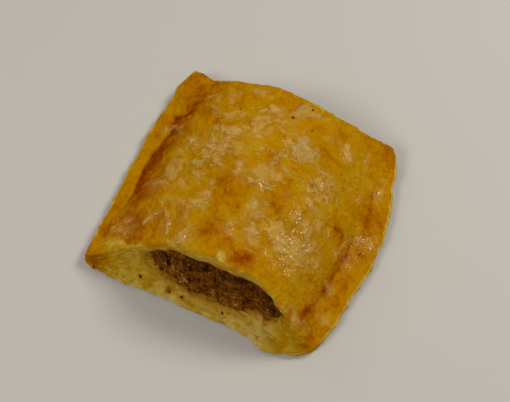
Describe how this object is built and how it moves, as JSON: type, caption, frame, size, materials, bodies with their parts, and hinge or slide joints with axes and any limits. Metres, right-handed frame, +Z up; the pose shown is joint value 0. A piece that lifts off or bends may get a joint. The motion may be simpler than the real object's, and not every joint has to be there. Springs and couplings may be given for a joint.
{
  "type": "sausage roll",
  "caption": "Square puff pastry sausage roll, sealed along both sides, with the sausage meat filling showing at its cut ends.",
  "frame": {"origin": "middle of the roll's box in plan, at the level of its base", "axes": "+X across the roll from one sealed side to the other, +Y along the filling towards the back cut end, +Z up"},
  "size_m": [0.1082, 0.1016, 0.0331],
  "materials": {
    "pastry": "golden, egg-washed and flaky",
    "sausage_meat": "coarse and matt"
  },
  "bodies": {
    "root": {"pastry_case": "pastry", "sausage_filling": "sausage_meat"}
  },
  "joints": []
}
